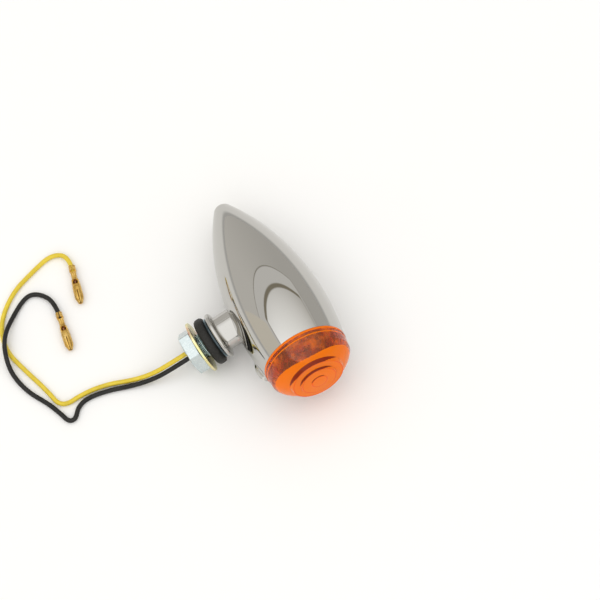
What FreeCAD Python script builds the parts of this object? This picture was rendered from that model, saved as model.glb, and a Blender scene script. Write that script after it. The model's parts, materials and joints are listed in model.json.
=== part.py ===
import FreeCAD, Part
import math
import os
import Sketcher
from FreeCAD import Placement, Rotation, Vector

# Bullet turn signal lamp, lying on its belly and on the rim of its mounting washer.
# Row frame: +Z up, the floor at Z = 0, the lens looks along -Y, the mounting stem points to -X.
# Lamp frame: z forward along the bullet (0 at the lens seam), x along the stem, y downward.
# Stem frame: z outward along the stem, x forward (towards the lens), y upward.

os.makedirs("parts", exist_ok=True)
doc = FreeCAD.newDocument("turn_signal")

# ---------------------------------------------------------------- driving sizes (mm, degrees)
SIZES = [
    # where the lamp lies
    ("seam_x", 12.39), ("seam_y", -38.57), ("lens_up_angle", 6.95),
    # bullet shell
    ("rim_radius", 20.0), ("belly_radius", 22.1), ("belly_depth", 24.0), ("front_arc", 138.0),
    ("ogive_arc", 134.0), ("nose_radius", 5.0), ("shell_wall", 2.2), ("mouth_radius", 17.8),
    ("mouth_depth", 7.2), ("seat_radius", 19.3), ("seat_depth", 1.0), ("cavity_end", 84.0),
    # set-screw boss on the rim
    ("boss_offset", 19.2), ("boss_depth", 5.4), ("boss_half_length", 6.2), ("boss_reach", 3.8),
    ("screw_radius", 1.5), ("screw_gap", 0.05), ("screw_long", 3.1), ("screw_angle", 50.0),
    ("screw_foot_x", 17.7), ("screw_foot_z", -5.2), ("pellet_radius", 1.3),
    # stem
    ("stem_back", 33.5), ("neck_radius", 8.4), ("flange_radius", 11.4), ("flange_face", 30.8),
    ("flange_thick", 2.3), ("stud_radius", 6.0), ("thread_radius", 5.8), ("stud_bore", 3.5),
    ("stud_inner_end", 12.4), ("stud_outer_end", 46.5), ("thread_gap", 0.05), ("pad_face", 17.4),
    ("pad_radius", 10.5), ("lock_nut_height", 4.5), ("lock_nut_flats", 17.0),
    ("ring_bore", 6.9), ("ring_step_radius", 10.0), ("ring_step", 1.4), ("ring_radius", 11.7),
    ("ring_thick", 4.4), ("ring_edge", 0.9), ("washer_face", 38.8), ("washer_thick", 1.2),
    ("washer_radius", 12.6), ("washer_bore", 6.4), ("nut_height", 6.0), ("nut_flats", 19.0),
    ("nut_turn_angle", -12.0),
    # lens
    ("lens_gap", 0.05), ("spigot_radius", 17.7), ("spigot_bore", 15.9), ("spigot_length", 7.0),
    ("gasket_bore", 17.72), ("gasket_radius", 19.25), ("gasket_floor", -0.95),
    # bulb holder
    ("plate_face", -17.0), ("plate_thick", 1.0), ("ear_offset", 14.3), ("ear_reach", 17.0),
    ("shell_radius", 8.4), ("shell_bore", 7.65), ("shell_front", -14.5), ("shell_rear", -33.75),
    ("pin_height", -18.0), ("pin_radius", 1.0), ("slot_turn", 22.0), ("push_travel", 1.5),
    ("disc_front", -32.3), ("carrier_rear", -28.1), ("carrier_front", -26.62),
    ("cap_bottom", -24.5), ("cap_radius", 7.5), ("cap_top", -11.0),
    ("bulb_radius", 9.0), ("bulb_centre", 0.5), ("glass_wall", 0.6),
    ("spring_radius", 4.0), ("spring_wire", 0.35), ("spring_turns", 2),
    # wires and terminals
    ("wire_radius", 1.1), ("wire_spread", 0.9), ("terminal_length", 20.0), ("bullet_radius", 2.1),
]

sheet = doc.addObject("Spreadsheet::Sheet", "sizes")
for row, (alias, number) in enumerate(SIZES, start=1):
    sheet.set("A%d" % row, alias)
    sheet.set("B%d" % row, str(number))
    sheet.setAlias("B%d" % row, alias)
doc.recompute()


class Size:
    """A length that knows its value and the expression over the sheet that gives it."""

    def __init__(self, value, text):
        self.value = float(value)
        self.text = text

    def __add__(self, other):
        other = as_size(other)
        return Size(self.value + other.value, "(%s + %s)" % (self.text, other.text))

    def __radd__(self, other):
        return as_size(other) + self

    def __sub__(self, other):
        other = as_size(other)
        return Size(self.value - other.value, "(%s - %s)" % (self.text, other.text))

    def __rsub__(self, other):
        return as_size(other) - self

    def __mul__(self, other):
        other = as_size(other)
        return Size(self.value * other.value, "(%s * %s)" % (self.text, other.text))

    def __rmul__(self, other):
        return as_size(other) * self

    def __truediv__(self, other):
        other = as_size(other)
        return Size(self.value / other.value, "(%s / %s)" % (self.text, other.text))

    def __neg__(self):
        return Size(-self.value, "(0 - %s)" % self.text)


def as_size(number):
    if isinstance(number, Size):
        return number
    return Size(number, repr(float(number)))


def root(size):
    return Size(math.sqrt(size.value), "sqrt(%s)" % size.text)


def cell(alias):
    return Size(sheet.get(alias), "sizes." + alias)


# ---------------------------------------------------------------- frames
rim = cell("rim_radius")
belly = cell("belly_radius")
belly_depth = cell("belly_depth")
ogive = cell("ogive_arc")
stem_back = cell("stem_back")


def belly_height(tilt):
    """Height of the seam's centre when the ogive rests on the floor, tilted by this angle."""
    return (belly_depth.value * math.sin(tilt) + belly.value * math.cos(tilt)
            + ogive.value * (1 - math.cos(tilt)))


def stem_dip(tilt):
    """How far the stem tips down before the washer's rim meets the floor."""
    axis_height = belly_height(tilt) - stem_back.value * math.sin(tilt)
    reach = cell("washer_face").value + cell("washer_thick").value
    low, high = 0.0, 0.6
    for _ in range(40):
        middle = (low + high) / 2
        slope = math.sin(middle) * math.cos(tilt)
        rim_drop = cell("washer_radius").value * math.sqrt(1 - slope * slope)
        if axis_height - reach * slope - rim_drop > 0:
            low = middle
        else:
            high = middle
    return low


tilt = math.radians(cell("lens_up_angle").value)
dip = stem_dip(tilt)
X_AXIS, Y_AXIS, Z_AXIS = Vector(1, 0, 0), Vector(0, 1, 0), Vector(0, 0, 1)
lying = Rotation(X_AXIS, -math.degrees(tilt)) * Rotation(Y_AXIS, -math.degrees(dip))
bullet_turn = Rotation(X_AXIS, 90) * Rotation(Z_AXIS, 180)
seam = Vector(cell("seam_x").value, cell("seam_y").value, belly_height(tilt))
LAMP = Placement(seam, lying * bullet_turn)
STEM = LAMP * Placement(Vector(0, 0, -stem_back.value), Rotation(Vector(1, 0, 1), 180))
NODES = []


def finish(feature, label, place):
    feature.Label = label
    feature.Placement = place
    NODES.append(feature)
    return feature


# ---------------------------------------------------------------- building blocks
def arc_centre(start, end, radius):
    """Centre of an arc; a positive radius bulges to the right of the way from start to end."""
    chord = end.sub(start)
    away = math.sqrt(radius * radius - chord.Length ** 2 / 4)
    left = Vector(-chord.y, chord.x, 0).normalize()
    return (start + end) * 0.5 + left * math.copysign(away, radius)


def draw_edge(sketch, start, end, radius):
    """Add one edge and return which of its ends (1 or 2) lies at the start and at the end."""
    if radius is None:
        sketch.addGeometry(Part.LineSegment(start, end), False)
        return 1, 2
    centre = arc_centre(start, end, radius.value)
    first, last = (start, end) if radius.value > 0 else (end, start)
    angle = math.atan2(first.y - centre.y, first.x - centre.x)
    stop = math.atan2(last.y - centre.y, last.x - centre.x)
    if stop < angle:
        stop += 2 * math.pi
    circle = Part.Circle(centre, Z_AXIS, abs(radius.value))
    sketch.addGeometry(Part.ArcOfCircle(circle, angle, stop), False)
    return (1, 2) if radius.value > 0 else (2, 1)


def dome(across, rise):
    """Radius of the cap that stands this high on a circle of this radius, square to the axis."""
    across, rise = as_size(across), as_size(rise)
    return (across * across + rise * rise) / (rise * 2)


def pin_point(sketch, index, end, point):
    """Dimension one end of an edge from the sketch's axes, bound to the sheet."""
    for size, kind, axis in ((point[0], "DistanceX", -2), (point[1], "DistanceY", -1)):
        size = as_size(size)
        if abs(size.value) < 1e-9:
            sketch.addConstraint(Sketcher.Constraint("PointOnObject", index, end, axis))
            continue
        rule = Sketcher.Constraint(kind, -1, 1, index, end, size.value)
        sketch.setExpression("Constraints[%d]" % sketch.addConstraint(rule), size.text)


def draw_outline(sketch, points):
    """Closed outline; a point is (across, along) or (across, along, radius of arc to the next)."""
    corners = [Vector(as_size(p[0]).value, as_size(p[1]).value, 0) for p in points]
    radii = [as_size(p[2]) if len(p) == 3 else None for p in points]
    count = len(points)
    ends = [draw_edge(sketch, corners[i], corners[(i + 1) % count], radii[i])
            for i in range(count)]
    for i in range(count):
        after = (i + 1) % count
        rule = Sketcher.Constraint("Coincident", i, ends[i][1], after, ends[after][0])
        sketch.addConstraint(rule)
    for i, point in enumerate(points):
        pin_point(sketch, i, ends[i][0], point)
        if radii[i] is not None:
            size = radii[i] if radii[i].value > 0 else -radii[i]
            number = sketch.addConstraint(Sketcher.Constraint("Radius", i, size.value))
            sketch.setExpression("Constraints[%d]" % number, size.text)


def turned(name, points):
    """A turned piece: the outline's (radius, height) points revolved about Z."""
    body = doc.addObject("PartDesign::Body", name)
    sketch = body.newObject("Sketcher::SketchObject", name + "_outline")
    plane = [f for f in body.Origin.OriginFeatures if f.Role == "XZ_Plane"][0]
    sketch.AttachmentSupport = (plane, [""])
    sketch.MapMode = "FlatFace"
    draw_outline(sketch, points)
    spin = body.newObject("PartDesign::Revolution", name + "_spin")
    spin.Profile = sketch
    spin.ReferenceAxis = (sketch, ["V_Axis"])
    spin.Angle = 360
    body.Tip = spin
    return body


def bind(feature, **sizes):
    for name, size in sizes.items():
        feature.setExpression(name, as_size(size).text)
    return feature


def cylinder(name, radius, height, place=None):
    feature = bind(doc.addObject("Part::Cylinder", name), Radius=radius, Height=height)
    feature.Placement = place or Placement()
    return feature


def box(name, length, width, height, place):
    feature = bind(doc.addObject("Part::Box", name), Length=length, Width=width, Height=height)
    feature.Placement = place
    return feature


def at(x, y, z, turn=None):
    x, y, z = (as_size(v).value for v in (x, y, z))
    return Placement(Vector(x, y, z), turn or Rotation())


def fuse(name, pieces):
    feature = doc.addObject("Part::MultiFuse", name)
    feature.Shapes = pieces
    feature.Refine = True
    return feature


def cut(name, base, tool):
    feature = doc.addObject("Part::Cut", name)
    feature.Base = base
    feature.Tool = tool
    feature.Refine = True
    return feature


def common(name, pieces):
    feature = doc.addObject("Part::MultiCommon", name)
    feature.Shapes = pieces
    return feature


def bound_copy(name, source, place=None):
    """A second use of a solid, so that one feature never serves two booleans."""
    feature = doc.addObject("Part::Feature", name)
    doc.recompute()
    feature.Shape = source.Shape.copy()
    feature.Placement = place or Placement()
    return feature


def bullet_radius(depth, offset=0.0):
    """Radius of the bullet's surface, less an offset, at a depth behind the seam (Size)."""
    depth = as_size(depth)
    arc = cell("front_arc") if depth.value < belly_depth.value else ogive
    swing = arc - offset
    away = depth - belly_depth
    return belly - arc + root(swing * swing - away * away)


# ---------------------------------------------------------------- bullet housing
def bullet_outline():
    """Outer profile: two long arcs that meet at the belly, closed by a small round nose."""
    nose = cell("nose_radius")
    sink = ogive - belly
    reach = root((ogive - nose) * (ogive - nose) - sink * sink)
    nose_centre = belly_depth + reach
    blend_depth = belly_depth + reach * ogive / (ogive - nose)
    blend_radius = sink * ogive / (ogive - nose) - sink
    return [
        (0, 0),
        (rim, 0, -cell("front_arc")),
        (belly, -belly_depth, -ogive),
        (blend_radius, -blend_depth, -nose),
        (0, -(nose_centre + nose)),
    ]


def cavity_outline():
    wall = cell("shell_wall")
    end = cell("cavity_end")
    seat, mouth = cell("seat_radius"), cell("mouth_radius")
    step = cell("mouth_depth")
    return [
        (0, 1),
        (seat, 1),
        (seat, -cell("seat_depth")),
        (mouth, -cell("seat_depth")),
        (mouth, -step),
        (bullet_radius(step + 0.8, wall), -(step + 0.8), wall - cell("front_arc")),
        (belly - wall, -belly_depth, wall - ogive),
        (bullet_radius(end, wall), -end),
        (0, -end),
    ]


def screw_frame():
    """Placement whose Z runs out along the slanted set-screw hole, from the lens spigot."""
    angle = math.radians(cell("screw_angle").value)
    outward = Vector(math.sin(angle), 0, -math.cos(angle))
    foot = Vector(cell("screw_foot_x").value, 0, cell("screw_foot_z").value)
    return Placement(foot, Rotation(Z_AXIS, outward))


def bullet_housing():
    skin = turned("bullet_skin", bullet_outline())
    cavity = turned("bullet_cavity", cavity_outline())
    reach = cell("boss_reach")
    boss = bind(doc.addObject("Part::Ellipsoid", "set_screw_boss"),
                Radius1=cell("boss_half_length"), Radius2=reach, Radius3=reach)
    boss.Placement = at(cell("boss_offset"), 0, -cell("boss_depth"))
    front = box("boss_front", 20, 20, 5, at(10, -10, 0))
    trimmed_boss = cut("trimmed_boss", boss, front)
    shell = cut("hollow_bullet", fuse("bullet_and_boss", [skin, trimmed_boss]), cavity)
    ear = cell("ear_offset")
    post_front = cell("plate_face") - cell("plate_thick")
    inside = []
    for side, word in ((1, "lower"), (-1, "upper")):
        inside.append(cylinder(word + "_post", 3.0, 12, at(0, side * ear, post_front - 12)))
        web_start = ear if side > 0 else -ear - 7.5
        inside.append(box(word + "_web", 2.6, 7.5, 12, at(-1.3, web_start, post_front - 12)))
    pad_turn = Rotation(Y_AXIS, 90)
    inside.append(cylinder("stem_pad", cell("pad_radius"), 5.5,
                           at(cell("pad_face"), 0, -stem_back, pad_turn)))
    limit = bound_copy("bullet_limit", skin)
    supports = common("inner_supports", [fuse("inner_lumps", inside), limit])
    holes = []
    for side, word in ((1, "lower"), (-1, "upper")):
        holes.append(cylinder(word + "_post_hole", 1.5, 9, at(0, side * ear, post_front - 8.5)))
    holes.append(cylinder("stem_hole", cell("thread_radius") + cell("thread_gap"), 20,
                          at(12, 0, -stem_back, pad_turn)))
    holes.append(cylinder("set_screw_hole", cell("screw_radius") + cell("screw_gap"), 12,
                          screw_frame() * at(0, 0, -1.5)))
    solid = fuse("bullet_solid", [shell, supports])
    finish(cut("bullet_housing", solid, fuse("bullet_holes", holes)), "bullet_housing", LAMP)
    return skin


# ---------------------------------------------------------------- lens
def amber_lens():
    gap = cell("lens_gap")
    spigot, bore = cell("spigot_radius"), cell("spigot_bore")
    points = [
        (bore, -cell("spigot_length")),
        (spigot, -cell("spigot_length")),
        (spigot, gap),
        (rim, gap),
        (rim, 1.1),
        (19.65, 1.4),
        (19.6, 2.3),
        (19.8, 2.6),
        (19.7, 3.0),
        (19.3, 6.5, 14),
        (13.6, 12.9),
        (12.9, 12.35),
        (12.2, 13.5, 40),
        (9.3, 14.05),
        (8.9, 13.7),
        (8.3, 14.5, 40),
        (4.1, 14.85),
        (3.7, 14.6),
        (3.2, 15.1, dome(3.2, 0.2)),
        (0, 15.3),
        (0, 13.1, -dome(11, 1.4)),
        (11.0, 11.7, -12),
        (16.4, 7.6),
        (17.3, 4.6),
        (17.3, 1.2),
    ]
    finish(turned("amber_lens", points), "amber_lens", LAMP)
    hold, edge, floor = cell("gasket_bore"), cell("gasket_radius"), cell("gasket_floor")
    seal = [(hold, floor), (edge, floor), (edge, gap - 0.02), (hold, gap - 0.02)]
    finish(turned("lens_gasket", seal), "lens_gasket", LAMP)


def lens_screw():
    """Hex-socket set screw and the soft pellet that it presses on the lens spigot."""
    frame = LAMP * screw_frame()
    tip = cell("pellet_radius")
    points = [(0, 0.46, tip), (tip, 0.46 + tip), (tip, 2.2), (0, 2.2)]
    finish(turned("screw_pellet", points), "screw_pellet", frame)
    radius, start = cell("screw_radius"), 2.25
    end = start + cell("screw_long")
    body = turned("set_screw_blank", [(0, start), (radius - 0.3, start), (radius, start + 0.3),
                                      (radius, end - 0.2), (radius - 0.2, end), (0, end)])
    hexagon = bind(doc.addObject("Part::Prism", "set_screw_socket"), Circumradius=0.87, Height=2)
    hexagon.Polygon = 6
    hexagon.Placement = at(0, 0, end - 1.3)
    finish(cut("lens_set_screw", body, hexagon), "lens_set_screw", frame)


# ---------------------------------------------------------------- stem, stud and fasteners
def chrome_stem(skin):
    neck, flange = cell("neck_radius"), cell("flange_radius")
    face, thick = cell("flange_face"), cell("flange_thick")
    bore = cell("thread_radius") + cell("thread_gap")
    inner = face - thick
    points = [
        (bore, 18.5),
        (neck, 18.5),
        (neck, inner - 1.6, -1.6),
        (neck + 1.6, inner),
        (flange - 0.8, inner, 1.22),
        (flange - 0.8, face),
        (bore, face),
    ]
    blank = turned("stem_blank", points)
    seat = bound_copy("stem_seat", skin, STEM.inverse() * LAMP)
    finish(cut("chrome_stem", blank, seat), "chrome_stem", STEM)


def hollow_stud():
    bore, land, thread = cell("stud_bore"), cell("stud_radius"), cell("thread_radius")
    start, end = cell("stud_inner_end"), cell("stud_outer_end")
    points = [
        (bore, start),
        (thread - 0.5, start),
        (thread, start + 0.5),
        (thread, cell("flange_face")),
        (land, cell("flange_face")),
        (land, cell("washer_face") - 0.1),
        (thread, cell("washer_face") - 0.1),
        (thread, end - 0.6),
        (thread - 0.6, end),
        (bore, end),
    ]
    finish(turned("hollow_stud", points), "hollow_stud", STEM)


def rubber_ring():
    bore, step, outer = cell("ring_bore"), cell("ring_step_radius"), cell("ring_radius")
    start = cell("flange_face") + 0.05
    back = start + cell("ring_step")
    face = back + cell("ring_thick")
    edge = cell("ring_edge")
    points = [
        (bore, start),
        (step, start),
        (step, back),
        (outer - edge, back),
        (outer, back + edge),
        (outer, face - edge),
        (outer - edge, face),
        (bore, face),
    ]
    finish(turned("rubber_ring", points), "rubber_ring", STEM)


def flat_washer():
    start, thick = cell("washer_face"), cell("washer_thick")
    bore, outer = cell("washer_bore"), cell("washer_radius")
    points = [
        (bore, start),
        (outer - 0.3, start),
        (outer, start + 0.3),
        (outer, start + thick - 0.2),
        (outer - 0.2, start + thick),
        (bore, start + thick),
    ]
    finish(turned("flat_washer", points), "flat_washer", STEM)


def hex_nut(label, flats, start, height, bore, turn):
    """Hexagon whose corners are rounded off by a double cone, bored through."""
    corner = flats / (2 * math.cos(math.pi / 6))
    prism = bind(doc.addObject("Part::Prism", label + "_prism"), Circumradius=corner,
                 Height=height)
    prism.Polygon = 6
    prism.Placement = at(0, 0, start, Rotation(Z_AXIS, as_size(turn).value))
    inscribed, drop = flats / 2 * 0.96, 0.9
    cone = turned(label + "_cone", [
        (bore + 0.4, start), (inscribed, start), (corner + 0.3, start + drop),
        (corner + 0.3, start + height - drop), (inscribed, start + height),
        (bore + 0.4, start + height), (bore, start + height - 0.4), (bore, start + 0.4)])
    finish(common(label, [prism, cone]), label, STEM)


def fasteners():
    bore = cell("thread_radius") + cell("thread_gap")
    nut_start = cell("washer_face") + cell("washer_thick") + 0.03
    hex_nut("jam_nut", cell("nut_flats"), nut_start, cell("nut_height"), bore,
            cell("nut_turn_angle"))
    lock_start = cell("pad_face") - cell("lock_nut_height")
    hex_nut("stem_lock_nut", cell("lock_nut_flats"), lock_start, cell("lock_nut_height"), bore, 0)


# ---------------------------------------------------------------- bulb holder
def bulb_bracket():
    face, thick = cell("plate_face"), cell("plate_thick")
    reach, ear = cell("ear_reach"), cell("ear_offset")
    ring = cylinder("bracket_ring", 9.9, thick, at(0, 0, face - thick))
    arms = box("bracket_arms", 8, reach * 2, thick, at(-4, -reach, face - thick))
    holes = [cylinder("bracket_socket_hole", cell("shell_radius") + 0.05, 3, at(0, 0, face - 2))]
    for side, word in ((1, "lower"), (-1, "upper")):
        holes.append(cylinder(word + "_ear_hole", 1.7, 3, at(0, side * ear, face - 2)))
    plate = cut("bulb_bracket", fuse("bracket_blank", [ring, arms]), fuse("bracket_holes", holes))
    finish(plate, "bulb_bracket", LAMP)


def bracket_screws():
    face, ear = cell("plate_face"), cell("ear_offset")
    pieces = []
    for side, word, seat in ((1, "lower", face + 0.8), (-1, "upper", face)):
        profile = [(0, -24), (1.45, -24), (1.45, seat), (2.8, seat), (2.8, seat + 1.1, 2.4),
                   (1.4, seat + 1.9), (0, seat + 1.9)]
        screw = turned(word + "_bracket_screw", profile)
        screw.Placement = at(0, side * ear, 0)
        slots = []
        for turn in (20, 110):
            place = at(0, side * ear, seat + 1.0, Rotation(Z_AXIS, turn)) * at(-1.6, -0.3, 0)
            slots.append(box("%s_cross_%d" % (word, turn), 3.2, 0.6, 2, place))
        pieces.append(cut(word + "_cross_screw", screw, fuse(word + "_cross", slots)))
    finish(fuse("bracket_screws", pieces), "bracket_screws", LAMP)


def socket_shell():
    outer, bore = cell("shell_radius"), cell("shell_bore")
    front, rear, face = cell("shell_front"), cell("shell_rear"), cell("plate_face")
    tube = turned("socket_tube", [
        (7.0, rear), (outer, rear), (outer, face), (9.4, face), (9.4, face + 0.7),
        (outer, face + 0.7), (outer, front), (bore, front), (bore, rear + 0.45),
        (7.0, rear + 0.45)])
    pin, radius = cell("pin_height"), cell("pin_radius")
    bottom = pin - radius - cell("push_travel") - 0.1
    top = pin + radius + 0.05
    turn = cell("slot_turn")
    slots = []
    for half in (0, 180):
        entry = box("entry_slot_%d" % half, 5, 2.4, front - bottom + 1,
                    at(0, 0, 0, Rotation(Z_AXIS, half + turn.value)) * at(5.5, -1.2, bottom))
        level = cylinder("level_slot_%d" % half, 10, top - bottom,
                         at(0, 0, bottom, Rotation(Z_AXIS, half - 8.5)))
        level.setExpression("Angle", (turn + 17).text)
        slots.extend([entry, level])
    finish(cut("socket_shell", tube, fuse("j_slots", slots)), "socket_shell", LAMP)


def socket_inside():
    disc, carrier = cell("disc_front"), cell("carrier_rear")
    front = cell("carrier_front")
    finish(turned("socket_base_disc", [(0, disc - 1.0), (7.6, disc - 1.0), (7.6, disc),
                                       (0, disc)]), "socket_base_disc", LAMP)
    finish(turned("contact_carrier", [(1.3, carrier), (7.3, carrier), (7.3, front - 0.3),
                                      (7.0, front), (1.3, front)]), "contact_carrier", LAMP)
    finish(turned("centre_contact", [(0, carrier - 1.2), (1.0, carrier - 1.2), (1.25, carrier),
                                     (1.25, front), (2.7, front), (2.7, front + 0.4, dome(2.7, 0.4)),
                                     (0, front + 0.8)]), "centre_contact", LAMP)


def coil(name, radius, wire, length, turns):
    """Round wire wound on a helix about Z, from Z = 0."""
    helix = Part.makeHelix(length / turns, length, radius)
    rise = Vector(0, radius, length / turns / (2 * math.pi))
    ring = Part.Wire(Part.Circle(Vector(radius, 0, 0), rise, wire).toShape())
    path = Part.Wire(helix.Edges)
    feature = doc.addObject("Part::Feature", name)
    feature.Shape = path.makePipeShell([ring], True, True)
    return feature


def contact_spring():
    wire = cell("spring_wire").value
    start = cell("disc_front").value + wire + 0.03
    length = cell("carrier_rear").value - wire - 0.03 - start
    spring = coil("contact_spring", cell("spring_radius").value, wire, length,
                  cell("spring_turns").value)
    finish(spring, "contact_spring", LAMP * at(0, 0, start))


def bulb():
    bottom, radius, top = cell("cap_bottom"), cell("cap_radius"), cell("cap_top")
    can = turned("cap_can", [(2.7, bottom), (radius - 0.6, bottom), (radius, bottom + 0.6),
                             (radius, top), (radius - 0.4, top), (radius - 0.4, bottom + 0.9),
                             (2.7, bottom + 0.5)])
    pieces = [can]
    for half in (0, 180):
        turn = Rotation(Z_AXIS, half) * Rotation(Y_AXIS, 90)
        start = Rotation(Z_AXIS, half).multVec(Vector(7.2, 0, 0))
        pieces.append(cylinder("pin_%d" % half, cell("pin_radius"), 1.1,
                               at(start.x, start.y, cell("pin_height"), turn)))
    finish(fuse("bulb_cap", pieces), "bulb_cap", LAMP)
    finish(turned("cap_insulator", [(1.5, bottom - 0.7), (2.65, bottom - 0.3),
                                    (2.65, bottom + 0.6), (1.5, bottom + 0.6)]),
           "cap_insulator", LAMP)
    finish(turned("solder_tip", [(0, bottom - 1.3, dome(1.45, 0.7)), (1.45, bottom - 0.6),
                                 (1.45, bottom + 0.2), (0, bottom + 0.2)]), "solder_tip", LAMP)


def bulb_glass():
    radius, centre, wall = cell("bulb_radius"), cell("bulb_centre"), cell("glass_wall")
    neck, inner = 7.1, radius - wall
    outer_meet = centre - root(radius * radius - neck * neck)
    slim = neck - wall
    inner_meet = centre - root(inner * inner - slim * slim)
    points = [
        (slim, -14),
        (neck, -14),
        (neck, outer_meet, radius),
        (radius, centre, radius),
        (0, centre + radius),
        (0, centre + inner, -inner),
        (inner, centre, -inner),
        (slim, inner_meet),
    ]
    finish(turned("bulb_glass", points), "bulb_glass", LAMP)


def filament_mount():
    stem = turned("glass_stem", [(0, -13.9), (6.5, -13.9), (6.5, -13.1), (5.9, -12.6),
                                 (1.7, -9.5), (1.5, -6.0), (0, -5.6)])
    core = bound_copy("stem_core", stem)
    finish(stem, "filament_stem", LAMP)
    leads = []
    for side in (-1, 1):
        lean = Rotation(Y_AXIS, side * 14)
        leads.append(cylinder("support_%d" % (side + 1), 0.25, 9.0, at(side * 0.75, 0, -7, lean)))
    supports = cut("support_wires", fuse("support_pair", leads), core)
    finish(supports, "filament_supports", LAMP)
    thread = coil("filament", 0.45, 0.12, 5.0, 10)
    finish(thread, "bulb_filament", LAMP * at(-2.5, 0, 1.7, Rotation(Y_AXIS, 90)))


# ---------------------------------------------------------------- wires
def rounded_path(name, points, closest=0.45):
    """Straight runs joined by tangent arcs, each as large as its two runs allow."""
    points = [Vector(*p) for p in points]
    edges, radii = [], []
    start = points[0]
    for before, corner, after in zip(points, points[1:], points[2:]):
        come, leave = corner.sub(before), after.sub(corner)
        half = come.getAngle(leave) / 2
        tangent = closest * min(come.Length, leave.Length)
        radius = tangent / math.tan(half)
        radii.append(radius)
        come.normalize()
        leave.normalize()
        first, last = corner - come * tangent, corner + leave * tangent
        inward = (leave - come).normalize()
        middle = corner + inward * (radius / math.cos(half) - radius)
        edges.append(Part.LineSegment(start, first).toShape())
        edges.append(Part.Arc(first, middle, last).toShape())
        start = last
    edges.append(Part.LineSegment(start, points[-1]).toShape())
    print("%s: length %.1f mm, arc radii %s" % (name, sum(e.Length for e in edges),
                                               " ".join("%.1f" % r for r in radii)))
    return Part.Wire(edges), points[1].sub(points[0])


def wire_tube(label, points, place):
    path, heading = rounded_path(label, points)
    radius = cell("wire_radius").value
    ring = Part.Wire(Part.Circle(Vector(*points[0]), heading, radius).toShape())
    solid = path.makePipeShell([ring], True, False)
    expected = math.pi * radius * radius * path.Length
    if abs(solid.Volume / expected - 1) > 0.01:
        raise RuntimeError("%s has volume %.1f, not %.1f" % (label, solid.Volume, expected))
    feature = doc.addObject("Part::Feature", label)
    feature.Shape = solid
    finish(feature, label, place)


def inner_leads():
    """Leads inside the lamp, from the socket and the earth tag out through the hollow stud."""
    spread, end = cell("wire_spread").value, cell("stud_outer_end").value
    back = stem_back.value
    wire_tube("yellow_inner_lead", [
        (0, 0, -33.3), (0, 0, -39.4), (6.5, -0.5, -39.0), (12.5, -spread, -back - spread),
        (end, -spread, -back - spread + 0.01)], LAMP)
    wire_tube("black_inner_lead", [
        (7.52, 8.66, -15.2), (12.0, 5.3, -15.2), (12.4, 4.2, -21.0), (10.2, 2.9, -26.6),
        (10.2, spread, -back + spread), (end, spread, -back + spread + 0.01)], LAMP)


def free_wires():
    """The two free wires, each leaving the stud along its axis and lying on the floor."""
    spread, end = cell("wire_spread").value, cell("stud_outer_end").value
    yellow_exit = STEM.multVec(Vector(-spread, spread, end))
    black_exit = STEM.multVec(Vector(spread, -spread, end))
    out = STEM.Rotation.multVec(Z_AXIS)
    yellow_straight = yellow_exit + out * 8.8
    black_straight = black_exit + out * 8.6
    wire_tube("yellow_wire", [tuple(yellow_exit), tuple(yellow_straight)] + YELLOW_ROUTE,
              Placement())
    wire_tube("black_wire", [tuple(black_exit), tuple(black_straight)] + BLACK_ROUTE,
              Placement())


YELLOW_ROUTE = [
    (-51.0, -4.6, 4.6),
    (-60.5, -1.6, 1.5),
    (-70.5, 2.0, 1.1),
    (-82.0, 3.2, 1.1),
    (-94.6, 1.2, 1.1),
    (-97.2, 12.5, 1.1),
    (-102.2, 26.5, 1.1),
    (-106.4, 40.0, 1.1),
    (-103.4, 54.0, 1.1),
    (-92.0, 66.0, 1.1),
    (-79.0, 71.8, 1.1),
    (-67.4, 76.0, 1.1),
    (-60.4, 70.6, 2.15),
    (-62.1, 62.0, 2.15),
]
BLACK_ROUTE = [
    (-50.5, -6.9, 3.8),
    (-61.0, -4.2, 1.3),
    (-71.5, -1.0, 1.1),
    (-81.8, 0.2, 1.1),
    (-87.6, -1.9, 1.1),
    (-90.6, -6.3, 1.1),
    (-92.7, -6.9, 1.1),
    (-94.6, -5.8, 1.1),
    (-96.0, -1.6, 1.1),
    (-99.2, 6.0, 1.1),
    (-105.4, 16.0, 1.1),
    (-108.5, 27.5, 1.4),
    (-107.4, 36.8, 4.6),
    (-104.0, 45.6, 4.6),
    (-96.8, 54.2, 1.4),
    (-86.6, 61.8, 1.1),
    (-80.3, 59.4, 1.2),
    (-76.0, 51.4, 2.15),
    (-77.1, 42.4, 2.15),
]


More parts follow.
